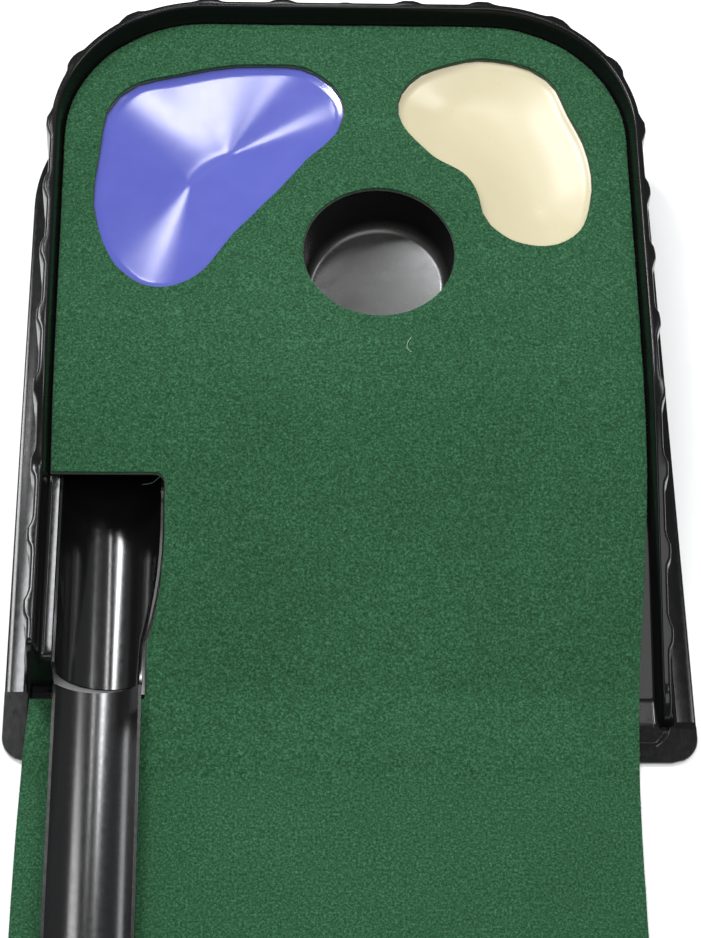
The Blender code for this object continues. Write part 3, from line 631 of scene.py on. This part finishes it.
def smooth_line(points, rounds=3):
    """The open line with its corners cut, end points kept."""
    line = [Vector(p) for p in points]
    for _ in range(rounds):
        cut = [line[0]]
        for a, b in zip(line, line[1:]):
            cut += [a * 0.75 + b * 0.25, a * 0.25 + b * 0.75]
        line = cut + [line[-1]]
    return line


def dish(name, outline, valley, depth, round_from, look):
    """A hazard: a rim under the mat, a short rounded wall, then slopes down to the valley.

    Past the share round_from of the way down, the slopes round off into the valley.
    """
    edge = closed_curve(outline, 12)
    line = smooth_line(valley)
    feet = [nearest_on(line, p) for p in edge]
    count = len(edge)
    for _ in range(30):
        feet = [(feet[i - 1] + feet[i] * 2 + feet[(i + 1) % count]) / 4 for i in range(count)]

    def build(work):
        rows = []
        lift = 0.0008
        for distance, drop in ((0.0060, 0.0), (0.0018, 0.0), (0.0004, 0.00015)):
            rows.append([(x, y, deck(y) + lift - drop) for x, y in offset(edge, distance)])
        for share in DISH_SHARES:
            row = []
            for point, foot in zip(edge, feet):
                x, y = Vector(point).lerp(foot, share)
                gap = (foot - Vector(point)).length * share
                wall_drop = DISH_WALL * smooth(gap / 0.005)
                rounded = max(0.0, share - round_from) ** 2 / (2 * (1 - round_from))
                slope_drop = (1 - DISH_WALL) * (share - rounded) / ((1 + round_from) / 2)
                row.append((x, y, deck(y) + lift - 0.0002 - depth * (wall_drop + slope_drop)))
            rows.append(row)
        made = loft(work, rows, closed=True)
        work.faces.new(made[-1])

    obj = make(name, build, look, "tray", merge=2e-5)
    wall(obj, 0.0005)
    soft_shade(obj, 50)
    return obj


# ------------------------------------------------------------------ mat
def mat_outline(inset):
    """The mat's outer edge, drawn in by the inset."""
    half, back, radius = MAT_HALF - inset, MAT_BACK - inset, CORNER - 0.001 - inset
    bend = between(-0.170, 0.210, 0.010)
    points = [(drift(-1) - half, MAT_FRONT + inset), (drift(-1) + half, MAT_FRONT + inset)]
    points += [(half + drift(y), y) for y in bend]
    for side, steps in ((1, range(0, 37)), (-1, range(36, -1, -1))):
        for i in steps:
            angle = math.pi / 2 * i / 36
            across, behind = radius * math.cos(angle), radius * math.sin(angle)
            points.append((side * (half - radius + across), back - radius + behind))
    points.append((-half, 0.190 + inset))
    corner = (notch_edge(0.190) + inset - 0.007, 0.183 + inset)
    for i in range(9):
        angle = math.pi / 2 * (1 - i / 8)
        points.append((corner[0] + 0.007 * math.cos(angle), corner[1] + 0.007 * math.sin(angle)))
    points += [(notch_edge(y) + inset, y) for y in reversed(between(TROUGH_FRONT, 0.180, 0.006))]
    points.append((notch_edge(TROUGH_FRONT) + inset - 0.0008, 0.044 - inset))
    points.append((drift(0.044) - half, 0.044 - inset))
    points += [(drift(y) - half, y) for y in reversed(bend) if y < 0.038]
    return points


def wavy(outline, amount, seed):
    """The outline with the slight unevenness of a knife cut."""
    moved = []
    for x, y in outline:
        shift = noise.noise((x * 55 + seed, y * 55, seed)) * amount
        sway = noise.noise((x * 55, y * 55 + seed, seed + 7)) * amount
        moved.append((x + shift, y + sway))
    return moved


def mat_outlines(inset):
    """The mat's edge, with long runs broken up, and its three openings."""
    outer = mat_outline(inset)
    dense = []
    for a, b in zip(outer, outer[1:] + outer[:1]):
        gap = math.hypot(b[0] - a[0], b[1] - a[1])
        steps = max(1, round(gap / 0.012))
        for i in range(steps):
            dense.append((a[0] + (b[0] - a[0]) * i / steps, a[1] + (b[1] - a[1]) * i / steps))
    holes = [offset(closed_curve(hazard, 10), inset) for hazard in (WATER, SAND)]
    holes.append(circle(CUP, CUP_HOLE + inset, 120))
    return [wavy(dense, 0.0005, 3.0)] + [wavy(hole, 0.0006, 5.0 + i) for i, hole in enumerate(holes)]


def mat_top(x, y):
    return mat_base(y) + BACKING + PILE


def score(work, place, way):
    """Divides every face that crosses the plane, and keeps both sides."""
    everything = work.verts[:] + work.edges[:] + work.faces[:]
    bmesh.ops.bisect_plane(work, geom=everything, plane_co=place, plane_no=way, dist=1e-7)


def felt_sheet(look):
    """The pile, cut out flat, then laid over the floor, the lip and the ramp."""
    curve = bpy.data.curves.new("mat_cut", "CURVE")
    curve.dimensions = "2D"
    curve.fill_mode = "BOTH"
    curve.extrude = PILE / 2
    for outline in mat_outlines(0.0004):
        spline = curve.splines.new("POLY")
        spline.points.add(len(outline) - 1)
        for knot, point in zip(spline.points, outline):
            knot.co = (*point, 0, 1)
        spline.use_cyclic_u = True
    flat = bpy.data.objects.new("mat_cut", curve)
    bpy.context.scene.collection.objects.link(flat)
    only(flat)
    bpy.ops.object.convert(target="MESH")
    obj = bpy.context.view_layer.objects.active
    obj.name = "mat_felt"
    work = bmesh.new()
    work.from_mesh(obj.data)
    bmesh.ops.remove_doubles(work, verts=work.verts, dist=1e-6)
    for y in sorted({*between(-0.018, 0.008, 0.002), *between(0.012, 0.550, 0.006)}):
        score(work, (0, y, 0), (0, 1, 0))
    for x in between(-0.18, 0.18, 0.012):
        score(work, (x, 0, 0), (1, 0, 0))
    for vert in work.verts:
        x, y, z = vert.co
        height = mat_base(y) + BACKING
        if z > 0:
            broad = 0.00025 * noise.noise((x * 26, y * 26, 2.0))
            fine = 0.00015 * noise.noise((x * 90, y * 90, 4.0))
            height += PILE
            height += broad + fine
        vert.co = (x, y + TRAY_Y, height)
    bmesh.ops.recalc_face_normals(work, faces=work.faces)
    work.to_mesh(obj.data)
    work.free()
    obj.data.materials.clear()
    obj.data.materials.append(look)
    soft_shade(obj, 40)
    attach(obj, "mat")
    return obj


def blade(work, root, tip, width):
    """One fibre end: a thin three-sided spike."""
    way = (tip - root).normalized()
    side = way.orthogonal().normalized()
    ring = [root + Matrix.Rotation(2 * math.pi * i / 3, 3, way) @ side * width for i in range(3)]
    base = [work.verts.new(p) for p in ring]
    end = work.verts.new(tip)
    for i in range(3):
        work.faces.new((base[i], base[(i + 1) % 3], end))
    work.faces.new(base[::-1])


def edge_fibres(look):
    """Short fibre ends that stand out of the pile along every cut edge."""
    chance = random.Random(11)

    def build(work):
        for number, outline in enumerate(mat_outlines(0.0004)):
            for i, here in enumerate(outline):
                there = outline[(i + 1) % len(outline)]
                if number == 0 and here[1] < -0.35:
                    continue
                span = math.hypot(there[0] - here[0], there[1] - here[1])
                along = Vector((there[0] - here[0], there[1] - here[1])).normalized()
                outward = Vector((along.y, -along.x)) * (1 if number == 0 else -1)
                for _ in range(max(1, int(span * EDGE_FIBRES))):
                    t = chance.random()
                    x, y = here[0] + (there[0] - here[0]) * t, here[1] + (there[1] - here[1]) * t
                    level = mat_base(y) + BACKING + PILE * chance.uniform(0.35, 1.0)
                    root = Vector((x - outward.x * 0.0005, y - outward.y * 0.0005, level - 0.0003))
                    lean = chance.uniform(-0.9, 0.9)
                    reach = chance.uniform(0.0005, 0.0013)
                    across, ahead = outward.x + along.x * lean, outward.y + along.y * lean
                    way = Vector((across, ahead, chance.uniform(0.2, 1.3))).normalized()
                    tip = root + way * (0.0006 + reach)
                    blade(work, root, tip, chance.uniform(0.00007, 0.00013))

    return make("mat_edge_fibres", build, look, "mat", merge=1e-9)


def surface_fibres(look):
    """Fibre ends that stand a little proud of the pile near the cup and the ramp."""
    chance = random.Random(23)
    water, sand = closed_curve(WATER, 4), closed_curve(SAND, 4)

    def build(work):
        made = 0
        while made < FIBRE_ENDS:
            x, y = chance.uniform(-0.199, 0.199), chance.uniform(-0.16, 0.552)
            if not on_felt(x, y, water, sand):
                continue
            root = Vector((x, y, mat_top(x, y) - 0.0006))
            way = Vector((chance.uniform(-1, 1), chance.uniform(-1, 1), chance.uniform(0.5, 1.6)))
            tip = root + way.normalized() * chance.uniform(0.0010, 0.0018)
            blade(work, root, tip, chance.uniform(0.00008, 0.00014))
            made += 1

    return make("mat_fibre_ends", build, look, "mat", merge=1e-9)


def inside(outline, x, y):
    """Whether the point is within the closed outline."""
    hit = False
    for (ax, ay), (bx, by) in zip(outline, outline[1:] + outline[:1]):
        if (ay > y) != (by > y) and x < ax + (y - ay) / (by - ay) * (bx - ax):
            hit = not hit
    return hit


def on_felt(x, y, water, sand):
    margin = 0.002
    if abs(x - drift(y)) > MAT_HALF - margin or math.hypot(x - CUP[0], y - CUP[1]) < CUP_HOLE + margin:
        return False
    if 0.042 < y < 0.193 and x < notch_edge(max(y, TROUGH_FRONT)) + margin:
        return False
    corner_x, corner_y = MAT_HALF - CORNER, MAT_BACK - CORNER
    if y > corner_y and abs(x) > corner_x:
        if math.hypot(abs(x) - corner_x, y - corner_y) > CORNER - margin - 0.001:
            return False
    if x < -0.128 and x > -0.200 and y < 0.046:
        return False
    return not inside(water, x, y) and not inside(sand, x, y)


def stray_thread(name, points, width, look, body):
    """A loose thread lying on a surface."""
    curve = bpy.data.curves.new(name, "CURVE")
    curve.dimensions = "3D"
    curve.bevel_depth = width
    curve.bevel_resolution = 1
    curve.use_fill_caps = True
    curve.resolution_u = 6
    spline = curve.splines.new("BEZIER")
    spline.bezier_points.add(len(points) - 1)
    for knot, (x, y, z) in zip(spline.bezier_points, points):
        knot.co = (x, y + TRAY_Y, z)
        knot.handle_left_type = knot.handle_right_type = "AUTO"
    obj = bpy.data.objects.new(name, curve)
    bpy.context.scene.collection.objects.link(obj)
    only(obj)
    bpy.ops.object.convert(target="MESH")
    obj = bpy.context.view_layer.objects.active
    obj.data.materials.clear()
    obj.data.materials.append(look)
    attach(obj, body)
    return obj


# ------------------------------------------------------------------ put together
black = black_plastic("formed_black_sheet", 0.0040, 0.14, 0.22)
trough_black = black_plastic("trough_black_sheet", 0.0045, 0.15)
track_black = black_plastic("track_black_sheet", 0.0055, 0.19)
cup_grey = cup_sheet()
coupler_grey = black_plastic("coupler_moulding", 0.0160, 0.38)
green, green_fibre, thread = felt(), fibre(), pale_fibre()
underlay = backing()
looks = {
    "mat_backing_green": underlay,
    "mat_backing_run": underlay,
    **{f"mat_tape_{side}": tape() for side in ("front", "right", "left", "back")},
}

tray = make("tray_shell", build_tray, black, "tray")
wall(tray, SHEET - 0.0001)
punch(tray, circle(CUP, CUP_MOUTH, 96))
for hazard in (WATER, SAND):
    punch(tray, offset(closed_curve(hazard, 10), DISH_OPENING))
soft_shade(tray, 50)
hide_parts("ramp_tray")

refined("return_channel", "return_trough", trough_black, "tray", 42)
refined("cup_liner", "cup_bowl", cup_grey, "tray", 50)
for number in range(1, 5):
    refined(f"track_section_{number}", f"track_length_{number}", track_black, f"track_{number}", 35)
for number in range(1, 4):
    refined(f"track_coupler_{number}", f"track_saddle_{number}", coupler_grey, "mat", 35)
refined("track_end_stop", "track_end_cap", coupler_grey, "track_4", 35)
rivets = metal()
for name in [f"cup_rivet_{i}" for i in (1, 2, 3)] + [f"channel_rivet_{i}" for i in (1, 2, 3, 4)]:
    refined(name, name + "_head", rivets, "tray", 35)

water = dish("water_dish", WATER, WATER_VALLEY, DISH_DEPTH, 0.90, blue_sheet())
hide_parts("water_insert")
sand = dish("sand_dish", SAND, SAND_VALLEY, DISH_DEPTH, 0.45, cream_sheet())
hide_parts("sand_insert")

for node, look in looks.items():
    obj = bpy.data.objects[node]
    obj.data.materials.clear()
    obj.data.materials.append(look)

mat = felt_sheet(green)
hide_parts("mat_pile")
fringe = edge_fibres(green_fibre)
tufts = surface_fibres(green_fibre)
by_cup = [
    (0.0425, 0.2880, 0.0003), (0.0402, 0.2835, 0.0012), (0.0398, 0.2795, 0.0008), (0.0425, 0.2765, 0.0003),
]
by_cup = [(x, y, mat_top(x, y) + lift) for x, y, lift in by_cup]
notch_top = mat_top(0, 0.190)
by_trough = [
    (-0.128, 0.186, mat_top(0, 0.192) + 0.0002),
    (-0.1335, 0.1815, notch_top),
    (-0.140, 0.181, notch_top - 0.001),
]
threads = [
    stray_thread("thread_by_cup", by_cup, 0.00016, thread, "mat"),
    stray_thread("thread_by_trough", by_trough, 0.00010, green_fibre, "mat"),
]

# ------------------------------------------------------------------ stage
bpy.ops.object.select_all(action="DESELECT")
bpy.ops.mesh.primitive_plane_add(size=60, location=(0, 0, -0.0006))
ground = bpy.context.active_object
ground.name = "studio_floor"
paper = Look("studio_paper", (0.93, 0.93, 0.925), 0.7)
paper.colour(paper.ramp(paper.noise(3.0, 2.0), [(0.3, (0.965, 0.965, 0.96)), (0.7, (0.975, 0.975, 0.97))]))
ground.data.materials.append(paper.material)

world = bpy.data.worlds.new("studio")
world.use_nodes = True
world.node_tree.nodes["Background"].inputs["Color"].default_value = (0.92, 0.95, 1.0, 1)
world.node_tree.nodes["Background"].inputs["Strength"].default_value = 0.33
bpy.context.scene.world = world


def softbox(name, place, aim, width, height, power, tint=(1, 1, 1)):
    light = bpy.data.lights.new(name, "AREA")
    light.shape = "RECTANGLE"
    light.size, light.size_y = width, height
    light.energy = power
    light.color = tint
    obj = bpy.data.objects.new(name, light)
    obj.location = place
    obj.rotation_euler = (Vector(aim) - Vector(place)).to_track_quat("-Z", "Y").to_euler()
    bpy.context.scene.collection.objects.link(obj)


target = (0, TRAY_Y + 0.20, 0.05)
softbox("overhead", (0.1, TRAY_Y - 0.8, 2.8), target, 2.4, 1.8, 50)
softbox("water_box", (0.04, TRAY_Y + 1.42, 2.70), target, 0.20, 0.46, 6)
softbox("crease_box", (-0.58, TRAY_Y + 2.0, 2.70), target, 0.16, 0.20, 2.5)
softbox("back_bar", (0.0, TRAY_Y + 2.75, 2.70), target, 0.36, 0.30, 6)
softbox("trough_strip", (-0.90, TRAY_Y + 1.40, 2.05), target, 0.30, 0.90, 34, (0.97, 0.98, 1.0))
softbox("left_window", (-2.1, TRAY_Y + 0.85, 0.60), target, 1.2, 0.40, 9, (0.95, 0.96, 1.0))
softbox("right_window", (1.10, TRAY_Y + 0.90, 2.20), target, 0.50, 0.8, 15)
bpy.context.scene.view_settings.view_transform = "Standard"

# ------------------------------------------------------------------ camera
pitch, yaw, roll = math.radians(57.75), math.radians(3.79), math.radians(3.55)
forward = Vector((math.sin(yaw) * math.cos(pitch), math.cos(yaw) * math.cos(pitch), -math.sin(pitch)))
across = Vector((math.cos(yaw), -math.sin(yaw), 0))
up = across.cross(forward)
right = across * math.cos(roll) + up * math.sin(roll)
over = up * math.cos(roll) - across * math.sin(roll)
lens = bpy.data.cameras.new("camera")
lens.sensor_fit = "HORIZONTAL"
lens.sensor_width = 36
lens.lens = 138.4
camera = bpy.data.objects.new("camera", lens)
camera.matrix_world = Matrix((
    (right.x, over.x, -forward.x, -0.0639),
    (right.y, over.y, -forward.y, TRAY_Y - 0.7748),
    (right.z, over.z, -forward.z, 1.5919),
    (0, 0, 0, 1),
))
bpy.context.scene.collection.objects.link(camera)
bpy.context.scene.camera = camera
